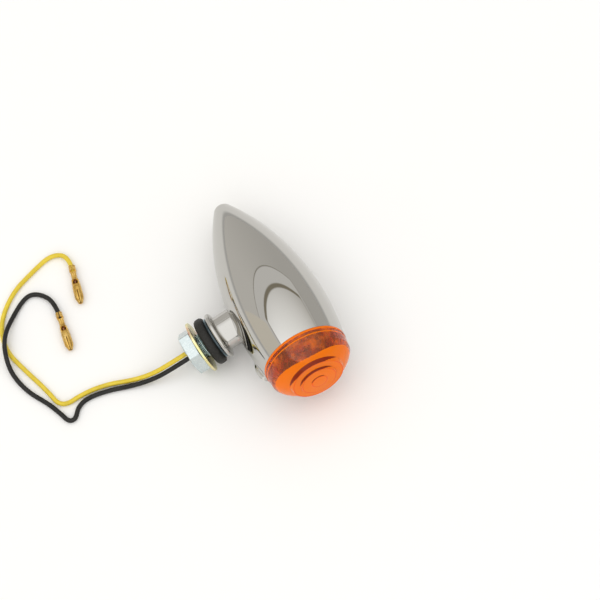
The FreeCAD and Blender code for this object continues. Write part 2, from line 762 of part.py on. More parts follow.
def bullet_terminal(label, wire_end, before):
    """Crimped bullet terminal: two crimps, an open window and a hollow slit bullet."""
    heading = Vector(*wire_end).sub(Vector(*before))
    heading.z = 0
    angle = math.degrees(math.atan2(heading.y, heading.x))
    bullet, length = cell("bullet_radius"), cell("terminal_length")
    wire = cell("wire_radius")
    profile = [
        (wire + 0.03, -3.2), (1.62, -3.2), (1.7, -0.3), (1.45, 0.3), (1.3, 0.9), (1.3, 3.6),
        (bullet - 0.35, 4.6), (bullet - 0.1, 8.0), (bullet, 8.6), (bullet, length - 6.2),
        (bullet - 0.3, length - 5.0, 6.0), (1.1, length - 3.2), (0.6, length - 3.2),
        (0.6, length - 3.9), (bullet - 0.6, length - 5.6), (bullet - 0.6, 5.2), (0.5, 4.2),
        (0.5, 0.25), (wire + 0.03, 0.05)]
    blank = turned(label + "_blank", profile)
    window = box(label + "_window", 3.4, 6, 2.6, at(0.5, -3, 5.0))
    slit = box(label + "_slit", 3, 0.35, 8, at(0, -0.17, length - 9.5))
    seam_gap = box(label + "_seam", 3, 0.25, 3.4, at(0.3, -0.12, -3.3))
    tools = fuse(label + "_cuts", [window, slit, seam_gap])
    place = Placement(Vector(*wire_end), Rotation(Z_AXIS, angle) * Rotation(Y_AXIS, 90)
                      * Rotation(Z_AXIS, 180))
    finish(cut(label, blank, tools), label, place)


def earth_tag():
    """Ring tag under the lower bracket screw, with the crimp that holds the black lead."""
    face, ear = cell("plate_face"), cell("ear_offset")
    ring = cylinder("tag_ring", 3.3, 0.75, at(0, ear, face + 0.02))
    toward = Rotation(Z_AXIS, math.degrees(math.atan2(-0.6, 0.8)))
    tongue = box("tag_tongue", 3.6, 2.4, 0.75, at(0, ear, face + 0.02, toward) * at(1.6, -1.2, 0))
    barrel = cylinder("tag_barrel", 1.55, 4.6, at(0, ear, -15.2, toward)
                      * at(4.8, 0, 0, Rotation(Y_AXIS, 90)))
    hole = cylinder("tag_hole", 1.6, 3, at(0, ear, face - 1))
    blank = fuse("tag_blank", [ring, tongue, barrel])
    finish(cut("earth_tag", blank, hole), "earth_tag", LAMP)


# ---------------------------------------------------------------- build, check, write
def build_all():
    skin = bullet_housing()
    amber_lens()
    lens_screw()
    chrome_stem(skin)
    hollow_stud()
    rubber_ring()
    flat_washer()
    fasteners()
    bulb_bracket()
    bracket_screws()
    socket_shell()
    socket_inside()
    contact_spring()
    bulb()
    bulb_glass()
    filament_mount()
    earth_tag()
    inner_leads()
    free_wires()
    bullet_terminal("yellow_terminal", YELLOW_ROUTE[-1], YELLOW_ROUTE[-2])
    bullet_terminal("black_terminal", BLACK_ROUTE[-1], BLACK_ROUTE[-2])


def check_and_write():
    doc.recompute()
    for feature in doc.Objects:
        if "Invalid" in feature.State or "Error" in feature.State:
            raise RuntimeError("failed feature: %s %s" % (feature.Name, feature.State))
    cords = ("yellow_wire", "black_wire", "yellow_terminal", "black_terminal")
    low, high = Vector(1e9, 1e9, 1e9), Vector(-1e9, -1e9, -1e9)
    for feature in NODES:
        shape = feature.Shape
        if shape.isNull() or not shape.isValid() or not shape.Solids:
            raise RuntimeError("bad solid: " + feature.Label)
        shape.exportStep("parts/%s.step" % feature.Label)
        extent = shape.optimalBoundingBox(False)
        print("%-20s volume %9.1f solids %d" % (feature.Label, shape.Volume, len(shape.Solids)))
        if feature.Label not in cords:
            low = Vector(min(low.x, extent.XMin), min(low.y, extent.YMin), min(low.z, extent.ZMin))
            high = Vector(max(high.x, extent.XMax), max(high.y, extent.YMax),
                          max(high.z, extent.ZMax))
    print("lamp box centre %.3f %.3f, lowest %.3f, size %.1f x %.1f x %.1f" % (
        (low.x + high.x) / 2, (low.y + high.y) / 2, low.z, high.x - low.x, high.y - low.y,
        high.z - low.z))
    print("stem dips %.2f degrees, seam height %.2f" % (math.degrees(dip), seam.z))


build_all()
check_and_write()
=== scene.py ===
import json
import math

import bmesh
import bpy
from mathutils import Matrix, Quaternion, Vector


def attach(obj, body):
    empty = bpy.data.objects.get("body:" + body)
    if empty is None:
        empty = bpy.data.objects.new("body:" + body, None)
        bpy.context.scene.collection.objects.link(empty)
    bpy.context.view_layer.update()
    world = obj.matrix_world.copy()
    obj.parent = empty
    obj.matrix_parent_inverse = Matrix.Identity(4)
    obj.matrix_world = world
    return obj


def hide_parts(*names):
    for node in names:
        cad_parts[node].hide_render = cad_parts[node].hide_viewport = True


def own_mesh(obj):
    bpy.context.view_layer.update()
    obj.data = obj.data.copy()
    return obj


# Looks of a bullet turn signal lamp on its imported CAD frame. Row frame: +Z up, floor at Z = 0.
# Piece outlines and routes are in millimetres; MM turns them into the scene's metres.
# Lamp frame: z forward along the bullet (0 at the lens seam), x along the stem, y downward.
# Stem frame: z outward along the stem, x forward, y upward.
MM = 0.001
UP = Vector((0, 0, 1))

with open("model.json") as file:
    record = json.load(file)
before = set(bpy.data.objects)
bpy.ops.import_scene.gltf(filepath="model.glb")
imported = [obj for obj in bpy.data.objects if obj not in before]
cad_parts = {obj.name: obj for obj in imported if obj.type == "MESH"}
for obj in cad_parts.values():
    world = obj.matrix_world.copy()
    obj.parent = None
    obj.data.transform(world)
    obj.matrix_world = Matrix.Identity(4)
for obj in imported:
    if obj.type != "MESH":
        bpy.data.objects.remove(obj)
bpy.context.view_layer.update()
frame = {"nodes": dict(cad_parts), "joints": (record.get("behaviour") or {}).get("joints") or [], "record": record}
scene = bpy.context.scene
scene.view_settings.view_transform = "Standard"


# ---------------------------------------------------------------- frames of the lamp, from its joints
def joint(name):
    """The CAD joint of this name, with its axis and place in the row frame."""
    return next(j for j in frame["joints"] if j["name"] == name)


BULB_DEPTH = 18.0 * MM  # the bulb joint lies this far behind the lens seam
STEM_BACK = 33.5 * MM  # and the stem's axis this far
forward = Vector(joint("lens_off")["axis"])
outward = Vector(joint("nut_turn")["axis"])
downward = forward.cross(outward).normalized()
seam = Vector(joint("bulb_turn")["pos_m"]) + forward * BULB_DEPTH


def frame_matrix(x_axis, y_axis, z_axis, origin):
    """Placement with these three axes and this origin."""
    return Matrix.Translation(origin) @ Matrix((x_axis, y_axis, z_axis)).transposed().to_4x4()


LAMP = frame_matrix(outward, downward, forward, seam)
STEM = frame_matrix(forward, -downward, outward, seam - forward * STEM_BACK)


# ---------------------------------------------------------------- camera
CAMERA_PLACE = Vector((-116.2, -459.87, 979.8)) * MM
CAMERA_AIM = Vector((26.27, -0.58, 0.0)) * MM
CAMERA_ROLL = math.radians(-9.81)
CAMERA_LENS, SENSOR_WIDTH, NEAR_CLIP = 140.9, 36.0, 0.01


def add_camera():
    data = bpy.data.cameras.new("camera")
    data.lens = CAMERA_LENS
    data.sensor_width = SENSOR_WIDTH
    data.clip_start = NEAR_CLIP
    camera = bpy.data.objects.new("camera", data)
    look = (CAMERA_AIM - CAMERA_PLACE).to_track_quat("-Z", "Y")
    camera.rotation_mode = "QUATERNION"
    camera.rotation_quaternion = look @ Quaternion((0, 0, 1), CAMERA_ROLL)
    camera.location = CAMERA_PLACE
    scene.collection.objects.link(camera)
    scene.camera = camera


# ---------------------------------------------------------------- free wires
WIRE_DIAMETER = 2.2 * MM
YELLOW_ROUTE = [
    (-32.97, -5.67, 11.45),
    (-41.51, -5.92, 9.35),
    (-51.0, -4.6, 4.6),
    (-60.5, -1.6, 1.5),
    (-70.5, 2.0, 1.1),
    (-82.0, 3.2, 1.1),
    (-94.6, 1.2, 1.1),
    (-97.2, 12.5, 1.1),
    (-102.2, 26.5, 1.1),
    (-106.4, 40.0, 1.1),
    (-103.4, 54.0, 1.1),
    (-92.0, 66.0, 1.1),
    (-79.0, 71.8, 1.1),
    (-67.4, 76.0, 1.1),
    (-60.4, 70.6, 2.15),
    (-62.1, 62.0, 2.15),
]
BLACK_ROUTE = [
    (-32.53, -7.67, 9.93),
    (-40.88, -7.92, 7.88),
    (-50.5, -6.9, 3.8),
    (-61.0, -4.2, 1.3),
    (-71.5, -1.0, 1.1),
    (-81.8, 0.2, 1.1),
    (-87.6, -1.9, 1.1),
    (-90.6, -6.3, 1.1),
    (-92.7, -6.9, 1.1),
    (-94.6, -5.8, 1.1),
    (-96.0, -1.6, 1.1),
    (-99.2, 6.0, 1.1),
    (-105.4, 16.0, 1.1),
    (-108.5, 27.5, 1.4),
    (-107.4, 36.8, 4.6),
    (-104.0, 45.6, 4.6),
    (-96.8, 54.2, 1.4),
    (-86.6, 61.8, 1.1),
    (-80.3, 59.4, 1.2),
    (-76.0, 51.4, 2.15),
    (-77.1, 42.4, 2.15),
]


def add_wire(colour, route, pieces):
    """Free wire from the end of the stud to its terminal, lying loose on the floor."""
    name = colour + "_lead"
    curve = bpy.data.curves.new(name, "CURVE")
    curve.dimensions = "3D"
    curve.bevel_depth = 1.0  # so that each point's radius is the wire's own
    curve.bevel_resolution = 8
    curve.use_fill_caps = True
    curve.resolution_u = 24
    spline = curve.splines.new("NURBS")
    spline.points.add(len(route) - 1)
    for point, place in zip(spline.points, route):
        point.co = (*(Vector(place) * MM), 1.0)
        point.radius = WIRE_DIAMETER / 2
    spline.order_u = 3
    spline.use_endpoint_u = True
    wire = bpy.data.objects.new(name, curve)
    scene.collection.objects.link(wire)
    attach(wire, "housing")
    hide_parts(colour + "_wire")
    return wire


# ---------------------------------------------------------------- node helpers for materials
class Graph:
    """Short names for the nodes of one node tree."""

    def __init__(self, tree):
        self.tree = tree

    def add(self, kind, **settings):
        node = self.tree.nodes.new("ShaderNode" + kind)
        for key, value in settings.items():
            setattr(node, key, value)
        return node

    def join(self, source, target):
        self.tree.links.new(source, target)

    def feed(self, value, target):
        if isinstance(value, bpy.types.NodeSocket):
            self.join(value, target)
        else:
            target.default_value = value

    def calc(self, operation, *values):
        node = self.add("Math", operation=operation)
        for value, target in zip(values, node.inputs):
            self.feed(value, target)
        return node.outputs["Value"]

    def ease(self, value, start, end):
        """Runs from 0 to 1 while the value runs from start to end."""
        node = self.add("MapRange")
        self.feed(value, node.inputs["Value"])
        node.inputs["From Min"].default_value = start
        node.inputs["From Max"].default_value = end
        return node.outputs["Result"]

    def blend(self, factor, under, over):
        node = self.add("Mix", data_type="RGBA")
        self.feed(factor, node.inputs[0])
        self.feed(under, node.inputs[6])
        self.feed(over, node.inputs[7])
        return node.outputs[2]


class Nodes(Graph):
    """The nodes of one material around its main shader."""

    def __init__(self, name):
        self.material = bpy.data.materials.new(name)
        self.material.use_nodes = True
        super().__init__(self.material.node_tree)
        self.shader = self.tree.nodes["Principled BSDF"]
        self.output = self.tree.nodes["Material Output"]

    def set(self, **values):
        for key, value in values.items():
            self.shader.inputs[key.replace("_", " ")].default_value = value

    def coordinates(self, scale=(1, 1, 1)):
        place = self.add("TexCoord")
        mapping = self.add("Mapping")
        mapping.inputs["Scale"].default_value = scale
        self.join(place.outputs["Object"], mapping.inputs["Vector"])
        return mapping.outputs["Vector"]

    def noise(self, scale, detail=3.0, roughness=0.5, stretch=(1, 1, 1)):
        node = self.add("TexNoise")
        node.inputs["Scale"].default_value = scale
        node.inputs["Detail"].default_value = detail
        node.inputs["Roughness"].default_value = roughness
        self.join(self.coordinates(stretch), node.inputs["Vector"])
        return node.outputs["Fac"]

    def ramp(self, factor, stops):
        node = self.add("ValToRGB")
        elements = node.color_ramp.elements
        while len(elements) < len(stops):
            elements.new(0.5)
        for element, (position, colour) in zip(elements, stops):
            element.position = position
            element.color = (*colour, 1.0)
        self.join(factor, node.inputs["Fac"])
        return node.outputs["Color"]

    def spread(self, factor, low, high, target):
        node = self.add("MapRange")
        node.inputs["To Min"].default_value = low
        node.inputs["To Max"].default_value = high
        self.join(factor, node.inputs["Value"])
        self.join(node.outputs["Result"], self.shader.inputs[target])

    def bump(self, factor, height, strength=1.0):
        node = self.add("Bump")
        node.inputs["Distance"].default_value = height
        node.inputs["Strength"].default_value = strength
        self.join(factor, node.inputs["Height"])
        self.join(node.outputs["Normal"], self.shader.inputs["Normal"])


def chrome():
    """Bright chromium plate: a mirror with faint polishing haze."""
    m = Nodes("chrome")
    m.set(Metallic=1.0, Base_Color=(0.50, 0.492, 0.47, 1))
    m.spread(m.noise(90.0, 4.0, 0.6), 0.015, 0.05, "Roughness")
    return m.material


def zinc():
    """Zinc plated steel: pale, slightly blue, softly mottled."""
    m = Nodes("zinc_steel")
    m.set(Metallic=1.0)
    mottle = m.noise(900.0, 5.0, 0.6)
    tone = m.ramp(mottle, [(0.3, (0.50, 0.57, 0.58)), (0.7, (0.62, 0.68, 0.68))])
    m.join(tone, m.shader.inputs["Base Color"])
    m.spread(m.noise(2500.0, 4.0), 0.2, 0.34, "Roughness")
    m.bump(m.noise(4000.0, 3.0), 0.00002, 0.35)
    return m.material


def stud_zinc():
    """The stud's plating: darker zinc with a blue cast in the thread."""
    m = Nodes("stud_zinc")
    m.set(Metallic=1.0)
    cast = m.ramp(m.noise(800.0, 4.0), [(0.3, (0.36, 0.47, 0.50)), (0.7, (0.52, 0.62, 0.64))])
    m.join(cast, m.shader.inputs["Base Color"])
    m.spread(m.noise(1600.0, 3.0), 0.15, 0.3, "Roughness")
    return m.material


def yellow_zinc():
    """Yellow passivated washer whose film drifts to pink and green."""
    m = Nodes("yellow_zinc")
    m.set(Metallic=1.0)
    drift = m.noise(110.0, 3.0, 0.55)
    tone = m.ramp(drift, [(0.30, (0.60, 0.66, 0.38)), (0.45, (0.76, 0.68, 0.32)),
                          (0.57, (0.80, 0.71, 0.42)), (0.66, (0.84, 0.50, 0.42))])
    m.join(tone, m.shader.inputs["Base Color"])
    m.spread(m.noise(2500.0, 4.0), 0.18, 0.34, "Roughness")
    return m.material


def steel_wire():
    """Drawn spring wire, grey and lightly streaked."""
    m = Nodes("spring_steel")
    m.set(Metallic=1.0)
    m.join(m.ramp(m.noise(700.0), [(0.3, (0.42, 0.42, 0.42)), (0.7, (0.55, 0.55, 0.54))]),
           m.shader.inputs["Base Color"])
    m.spread(m.noise(1500.0), 0.22, 0.4, "Roughness")
    return m.material


def tungsten():
    """Dark drawn filament wire."""
    m = Nodes("tungsten")
    m.set(Metallic=1.0)
    m.join(m.ramp(m.noise(2500.0), [(0.3, (0.22, 0.22, 0.23)), (0.7, (0.36, 0.36, 0.37))]),
           m.shader.inputs["Base Color"])
    m.spread(m.noise(2500.0), 0.35, 0.5, "Roughness")
    return m.material


def brass():
    """Stamped brass, warm and bright, a little dulled in patches."""
    m = Nodes("brass")
    m.set(Metallic=1.0)
    patches = m.noise(420.0, 5.0, 0.6)
    tone = m.ramp(patches, [(0.30, (0.42, 0.24, 0.05)), (0.52, (0.66, 0.42, 0.11)),
                            (0.75, (0.80, 0.57, 0.22))])
    m.join(tone, m.shader.inputs["Base Color"])
    m.spread(m.noise(1200.0, 4.0), 0.16, 0.36, "Roughness")
    m.bump(m.noise(3000.0, 3.0), 0.00002, 0.3)
    return m.material


def copper():
    """Bare copper strands, a little tarnished."""
    m = Nodes("copper")
    m.set(Metallic=1.0)
    m.join(m.ramp(m.noise(1500.0), [(0.3, (0.45, 0.20, 0.12)), (0.7, (0.72, 0.38, 0.24))]),
           m.shader.inputs["Base Color"])
    m.spread(m.noise(1200.0), 0.3, 0.45, "Roughness")
    return m.material


def solder():
    """Tinned tip: bright with dull, lumpy patches."""
    m = Nodes("solder")
    m.set(Metallic=1.0)
    m.join(m.ramp(m.noise(1200.0), [(0.3, (0.55, 0.55, 0.56)), (0.7, (0.76, 0.76, 0.76))]),
           m.shader.inputs["Base Color"])
    m.spread(m.noise(1200.0), 0.25, 0.45, "Roughness")
    m.bump(m.noise(900.0), 0.00008, 0.5)
    return m.material


def rubber():
    """Moulded black rubber with a fine dusty grain."""
    m = Nodes("black_rubber")
    m.set(Specular_IOR_Level=0.2)
    grain = m.noise(1600.0, 5.0, 0.65)
    m.join(m.ramp(grain, [(0.3, (0.012, 0.012, 0.011)), (0.75, (0.035, 0.034, 0.032))]),
           m.shader.inputs["Base Color"])
    m.spread(m.noise(500.0, 4.0), 0.42, 0.62, "Roughness")
    m.bump(m.noise(3500.0, 4.0), 0.00003, 0.5)
    return m.material


def gloss_rubber():
    """The grommet's spigot: smoother black rubber that shows cool glints."""
    m = Nodes("gloss_rubber")
    m.set(Coat_Weight=0.8, Coat_Roughness=0.08, Coat_Tint=(0.5, 0.85, 1.0, 1))
    m.join(m.ramp(m.noise(900.0, 4.0), [(0.3, (0.008, 0.010, 0.011)), (0.75, (0.02, 0.03, 0.034))]),
           m.shader.inputs["Base Color"])
    m.spread(m.noise(600.0, 3.0), 0.1, 0.25, "Roughness")
    m.bump(m.noise(420.0, 3.0), 0.00012, 0.5)
    return m.material


def insulation(name, dark, light, low, high, gloss):
    """Extruded wire insulation: even colour, faint streaks, soft sheen."""
    m = Nodes(name)
    m.set(Specular_IOR_Level=gloss)
    m.join(m.ramp(m.noise(260.0, 4.0, 0.6), [(0.3, dark), (0.7, light)]),
           m.shader.inputs["Base Color"])
    m.spread(m.noise(700.0, 3.0), low, high, "Roughness")
    m.bump(m.noise(1800.0, 3.0), 0.00003, 0.35)
    return m.material


def phenolic():
    """Brown paper-filled insulating board with a grain."""
    m = Nodes("phenolic")
    fibres = m.noise(700.0, 6.0, 0.7, (1, 6, 1))
    m.join(m.ramp(fibres, [(0.3, (0.16, 0.08, 0.035)), (0.7, (0.30, 0.16, 0.08))]),
           m.shader.inputs["Base Color"])
    m.spread(fibres, 0.4, 0.6, "Roughness")
    return m.material


def nylon():
    """Off-white nylon with a faint inner glow."""
    m = Nodes("nylon")
    m.set(Subsurface_Weight=0.2)
    m.join(m.ramp(m.noise(500.0), [(0.3, (0.78, 0.77, 0.72)), (0.7, (0.88, 0.87, 0.83))]),
           m.shader.inputs["Base Color"])
    m.spread(m.noise(900.0), 0.4, 0.55, "Roughness")
    return m.material


def black_glass():
    """Black glass insulator of the bulb cap."""
    m = Nodes("black_glass")
    m.join(m.ramp(m.noise(400.0), [(0.3, (0.008, 0.008, 0.01)), (0.7, (0.02, 0.02, 0.026))]),
           m.shader.inputs["Base Color"])
    m.spread(m.noise(600.0), 0.06, 0.2, "Roughness")
    return m.material


def clear_glass():
    """Blown glass of the bulb, slightly wavy."""
    m = Nodes("clear_glass")
    m.set(Transmission_Weight=1.0, Roughness=0.0, IOR=1.5, Base_Color=(0.97, 0.99, 0.99, 1))
    m.bump(m.noise(60.0, 2.0), 0.0001, 0.1)
    return m.material


AMBER_TINT = (1.0, 0.90, 0.10, 1)
AMBER_DENSITY = 530.0


def amber(name, colour, clear, gloss, cloud=0.0):
    """Amber acrylic, clear or clouded by its optics: colour deepens through its thickness."""
    m = Nodes(name)
    m.set(IOR=1.49, Base_Color=colour, Transmission_Weight=clear, Specular_IOR_Level=gloss)
    if cloud:
        patches = m.ease(m.noise(230.0, 3.0, 0.5), 0.46, 0.72)
        m.spread(patches, clear, clear - cloud, "Transmission Weight")
    m.spread(m.noise(300.0, 3.0), 0.015, 0.06, "Roughness")
    depth = m.add("VolumeAbsorption")
    depth.inputs["Color"].default_value = AMBER_TINT
    depth.inputs["Density"].default_value = AMBER_DENSITY
    m.join(depth.outputs["Volume"], m.output.inputs["Volume"])
    return m.material


def cast_zinc():
    """Bare die-cast zinc inside the bullet: pale grey and matt."""
    m = Nodes("cast_zinc")
    m.set(Metallic=0.35)
    m.join(m.ramp(m.noise(700.0, 5.0, 0.6), [(0.3, (0.52, 0.52, 0.50)), (0.7, (0.70, 0.70, 0.68))]),
           m.shader.inputs["Base Color"])
    m.spread(m.noise(1500.0, 4.0), 0.4, 0.6, "Roughness")
    m.bump(m.noise(1200.0, 4.0), 0.00006, 0.5)
    return m.material


def make_materials():
    return {
        "chrome": chrome(),
        "zinc_steel": zinc(),
        "stud_zinc": stud_zinc(),
        "yellow_zinc": yellow_zinc(),
        "spring_steel": steel_wire(),
        "tungsten": tungsten(),
        "brass": brass(),
        "copper": copper(),
        "solder": solder(),
        "black_rubber": rubber(),
        "gloss_rubber": gloss_rubber(),
        "amber_plastic": amber("amber_plastic", (1.0, 0.20, 0.006, 1), 0.90, 0.2, 0.45),
        "amber_front": amber("amber_front", (0.98, 0.205, 0.002, 1), 0.2, 0.08),
        # Darker amber for the painted shade on the upper part of the lens's step walls.
        "amber_deep": amber("amber_deep", (0.26, 0.025, 0.002, 1), 0.3, 0.05),
        # Deeper red amber for the painted lines that stand in for the step walls refracted through the plastic.
        "amber_line": amber("amber_line", (0.90, 0.065, 0.002, 1), 0.2, 0.08),
        "cast_zinc": cast_zinc(),
        "nylon": nylon(),
        "phenolic": phenolic(),
        "clear_glass": clear_glass(),
        "black_glass": black_glass(),
        "yellow_pvc": insulation("yellow_pvc", (0.66, 0.49, 0.02), (0.78, 0.60, 0.04),
                                 0.28, 0.42, 0.5),
        "black_pvc": insulation("black_pvc", (0.010, 0.010, 0.009), (0.022, 0.021, 0.02),
                                0.26, 0.42, 0.25),
    }


def dress_cad(materials):
    """Give every CAD node the material of its slot and smooth shading with crisp edges."""
    for part in frame["record"]["subparts"]:
        node = frame["nodes"][part["node"]]
        node.data.materials.clear()
        node.data.materials.append(materials[part["material_slot"]])
        node.data.polygons.foreach_set("use_smooth", [True] * len(node.data.polygons))
        node.data.set_sharp_from_angle(angle=math.radians(28))


# ---------------------------------------------------------------- building meshes
def arc_samples(start, end, radius, count):
    """Points along an arc; a positive radius bulges to the right of the way from start to end."""
    a, b = Vector(start), Vector(end)
    chord = b - a
    away = math.sqrt(max(radius * radius - chord.length_squared / 4, 0.0))
    left = Vector((-chord.y, chord.x)).normalized()
    centre = (a + b) / 2 + left * math.copysign(away, radius)
    first = a - centre
    sweep = first.angle_signed(b - centre)
    return [centre + Matrix.Rotation(-sweep * i / count, 2) @ first for i in range(count)]


SMALL_TURN = math.radians(15)


def soften(points, radius, closed, count=4):
    """Round the corners of an outline that turn by more than 15 degrees."""
    result = []
    total = len(points)
    for i, corner in enumerate(points):
        if not closed and i in (0, total - 1):
            result.append(corner)
            continue
        before, after = points[i - 1] - corner, points[(i + 1) % total] - corner
        turn = math.pi - before.angle(after, 0.0)
        if turn < SMALL_TURN:
            result.append(corner)
            continue
        reach = min(radius * math.tan(turn / 2), 0.45 * before.length, 0.45 * after.length)
        first, last = corner + before.normalized() * reach, corner + after.normalized() * reach
        for step in range(count + 1):
            s = step / count
            result.append(first * (1 - s) ** 2 + corner * 2 * s * (1 - s) + last * s * s)
    return result


def outline(points, corner=0.15, closed=True):
    """Fine outline in mm; a point is (across, along[, radius of the arc to the next[, steps]])."""
    fine = []
    for i, point in enumerate(points):
        after = points[(i + 1) % len(points)]
        if len(point) > 2:
            steps = point[3] if len(point) > 3 else 12
            fine.extend(arc_samples(point[:2], after[:2], point[2], steps))
        else:
            fine.append(Vector(point))
    return soften(fine, corner, closed)


def new_piece(name, vertices, faces, body, material, place=None, sharp=40):
    """Mesh object with vertices given in mm in the frame 'place', riding on a CAD body."""
    mesh = bpy.data.meshes.new(name)
    mesh.from_pydata([(place or Matrix()) @ (Vector(v) * MM) for v in vertices], [], faces)
    mesh.validate()
    shape = bmesh.new()
    shape.from_mesh(mesh)
    bmesh.ops.remove_doubles(shape, verts=shape.verts, dist=1e-7)
    bmesh.ops.recalc_face_normals(shape, faces=shape.faces)
    shape.to_mesh(mesh)
    shape.free()
    mesh.polygons.foreach_set("use_smooth", [True] * len(mesh.polygons))
    mesh.set_sharp_from_angle(angle=math.radians(sharp))
    piece = bpy.data.objects.new(name, mesh)
    scene.collection.objects.link(piece)
    for each in material if isinstance(material, (list, tuple)) else [material]:
        mesh.materials.append(each)
    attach(piece, body)
    return piece


def ring_faces(rows, columns, closed):
    """Quads between rows of a turned surface; the last row joins the first if closed."""
    faces = []
    for row in range(rows if closed else rows - 1):
        after = (row + 1) % rows
        for column in range(columns):
            beside = (column + 1) % columns
            faces.append((row * columns + column, row * columns + beside,
                          after * columns + beside, after * columns + column))
    return faces


def lathe(name, points, body, material, place, steps=160, closed=True, shape=None,
          sharp=40):
    """Turned piece about its frame's Z; shape(across, along, angle) may change a radius."""
    angles = [2 * math.pi * i / steps for i in range(steps)]
    vertices = []
    for across, along in points:
        for angle in angles:
            radius = shape(across, along, angle) if shape else across
            vertices.append((radius * math.cos(angle), radius * math.sin(angle), along))
    faces = ring_faces(len(points), steps, closed)
    return new_piece(name, vertices, faces, body, material, place, sharp)


def turned_faces(piece, place):
    """Each face with its radius, height in mm and angle, and its normal's radial and axial parts."""
    inverse = place.inverted()
    turn = inverse.to_3x3()
    for face in piece.data.polygons:
        centre = inverse @ face.center / MM
        normal = turn @ face.normal
        across = max(centre.xy.length, 1e-6)
        angle = math.atan2(centre.y, centre.x)
        yield face, across, centre.z, angle, normal.xy.dot(centre.xy) / across, normal.z


def carve(piece, cutter):
    """Cut one solid out of a piece for good, and drop the cutter."""
    modifier = piece.modifiers.new("carve", "BOOLEAN")
    modifier.operation = "DIFFERENCE"
    modifier.solver = "EXACT"
    modifier.object = cutter
    bpy.context.view_layer.update()
    shape = piece.evaluated_get(bpy.context.evaluated_depsgraph_get())
    carved = bpy.data.meshes.new_from_object(shape)
    piece.modifiers.clear()
    piece.data = carved
    bpy.data.objects.remove(cutter)


def block(name, low, high, place):
    """Plain box in mm, used only as a cutter."""
    (a, b, c), (d, e, f) = low, high
    corners = [(x, y, z) for x in (a, d) for y in (b, e) for z in (c, f)]
    faces = [(0, 1, 3, 2), (4, 6, 7, 5), (0, 4, 5, 1), (2, 3, 7, 6), (0, 2, 6, 4), (1, 5, 7, 3)]
    mesh = bpy.data.meshes.new(name)
    mesh.from_pydata([place @ (Vector(v) * MM) for v in corners], [], faces)
    cutter = bpy.data.objects.new(name, mesh)
    scene.collection.objects.link(cutter)
    return cutter


# ---------------------------------------------------------------- bullet housing
BOSS_OFFSET, BOSS_DEPTH, BOSS_REACH, BOSS_HALF_LENGTH = 19.2, 5.4, 3.8, 6.2
SCREW_ANGLE = math.radians(50)
SCREW = (LAMP @ Matrix.Translation(Vector((17.7, 0, -5.2)) * MM)
         @ Matrix.Rotation(math.pi - SCREW_ANGLE, 4, "Y"))
OUTER_LIMIT = 19.6  # every outer point of the shell is further out than this
BOSS_BLEND, LEAST_LIFT = 0.25, 0.02


def boss_radius(along, angle):
    """Where a ray from the bullet's axis leaves the boss, or 0 where it misses."""
    share = 1 - ((along + BOSS_DEPTH) / BOSS_HALF_LENGTH) ** 2
    side = math.sin(angle) * BOSS_OFFSET
    reach = BOSS_REACH ** 2 * share - side ** 2
    if share <= 0 or reach <= 0 or math.cos(angle) < 0:
        return 0.0
    return math.cos(angle) * BOSS_OFFSET + math.sqrt(reach)


def swell(across, along, angle):
    """The shell's radius, raised to the boss with a soft foot."""
    if across < OUTER_LIMIT:
        return across
    rise = boss_radius(along, angle) - across
    lift = (rise + math.hypot(rise, BOSS_BLEND)) / 2
    return across + (lift if lift > LEAST_LIFT else 0.0)


POST_OFFSET = 14.3
DRILL_RADIUS, DRILL_START, DRILL_END = 1.55, -1.5, 9.0


def bullet(materials):
    """Chromed shell with its boss and drilled screw hole, bare zinc inside, and two posts."""
    inside = [(0, -84), (5.4, -84, 131.8, 40), (19.9, -24, 135.8, 20), (18.95, -8.0),
              (17.8, -7.2), (17.8, -1.0), (19.3, -1.0), (19.3, 0)]
    outside = [(20.0, 0, -138.0, 60), (22.1, -24.0, -134.0, 120), (4.34, -90.67, -5.0, 16),
               (0, -93.18)]
    points = outline(inside + outside, 0.22, closed=False)
    shell = lathe("chrome_bullet", points, "housing",
                  [materials["chrome"], materials["cast_zinc"]], LAMP, 300, closed=False,
                  shape=swell, sharp=60)
    for face, _, along, _, radial, axial in turned_faces(shell, LAMP):
        if along < -0.5 and (radial < -0.3 or axial > 0.5):
            face.material_index = 1
    hole = [(0, DRILL_START), (DRILL_RADIUS, DRILL_START), (DRILL_RADIUS, DRILL_END), (0, DRILL_END)]
    drill = lathe("drill", hole, "housing", materials["chrome"], SCREW, 40, closed=False)
    carve(shell, drill)
    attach(shell, "housing")
    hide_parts("bullet_housing")
    for side in (-1, 1):
        place = LAMP @ Matrix.Translation(Vector((0, side * POST_OFFSET, 0)) * MM)
        post = outline([(1.5, -18), (3.0, -18), (3.0, -29), (4.0, -30), (1.5, -30)], 0.1)
        lathe("housing_post_%d" % (side + 1), post, "housing", materials["chrome"],
              place, 40)


# ---------------------------------------------------------------- stem, stud and fasteners
def stem(materials):
    """Neck with a hollow curve up to its beaded flange."""
    points = [(5.85, 19.0), (8.4, 19.0), (8.4, 26.9, -1.6, 8), (10.0, 28.5), (10.6, 28.5, 1.2, 10),
              (10.6, 30.8), (5.85, 30.8)]
    neck = lathe("chrome_neck", outline(points, 0.15), "housing", materials["chrome"],
                 STEM, 200, sharp=50)
    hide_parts("chrome_stem")


THREAD_PITCH, THREAD_DEPTH = 1.25, 0.62
RUN_IN, RUN_OUT = 0.8, 0.5


def clamp(value):
    return min(max(value, 0.0), 1.0)


def thread_cut(along, angle, start, end):
    """Depth of a rounded 60-degree groove that fades out at both ends of the thread."""
    phase = (along / THREAD_PITCH - angle / (2 * math.pi)) % 1.0
    groove = clamp(1.15 - abs(phase - 0.5) * 3.2)
    fade = clamp((along - start) / RUN_IN) * clamp((end - along) / RUN_OUT)
    return groove * groove * (3 - 2 * groove) * fade * THREAD_DEPTH


THREAD_START, THREAD_END, THREAD_STEP = 31.0, 46.2, 0.09
SHOULDER_END = 38.6


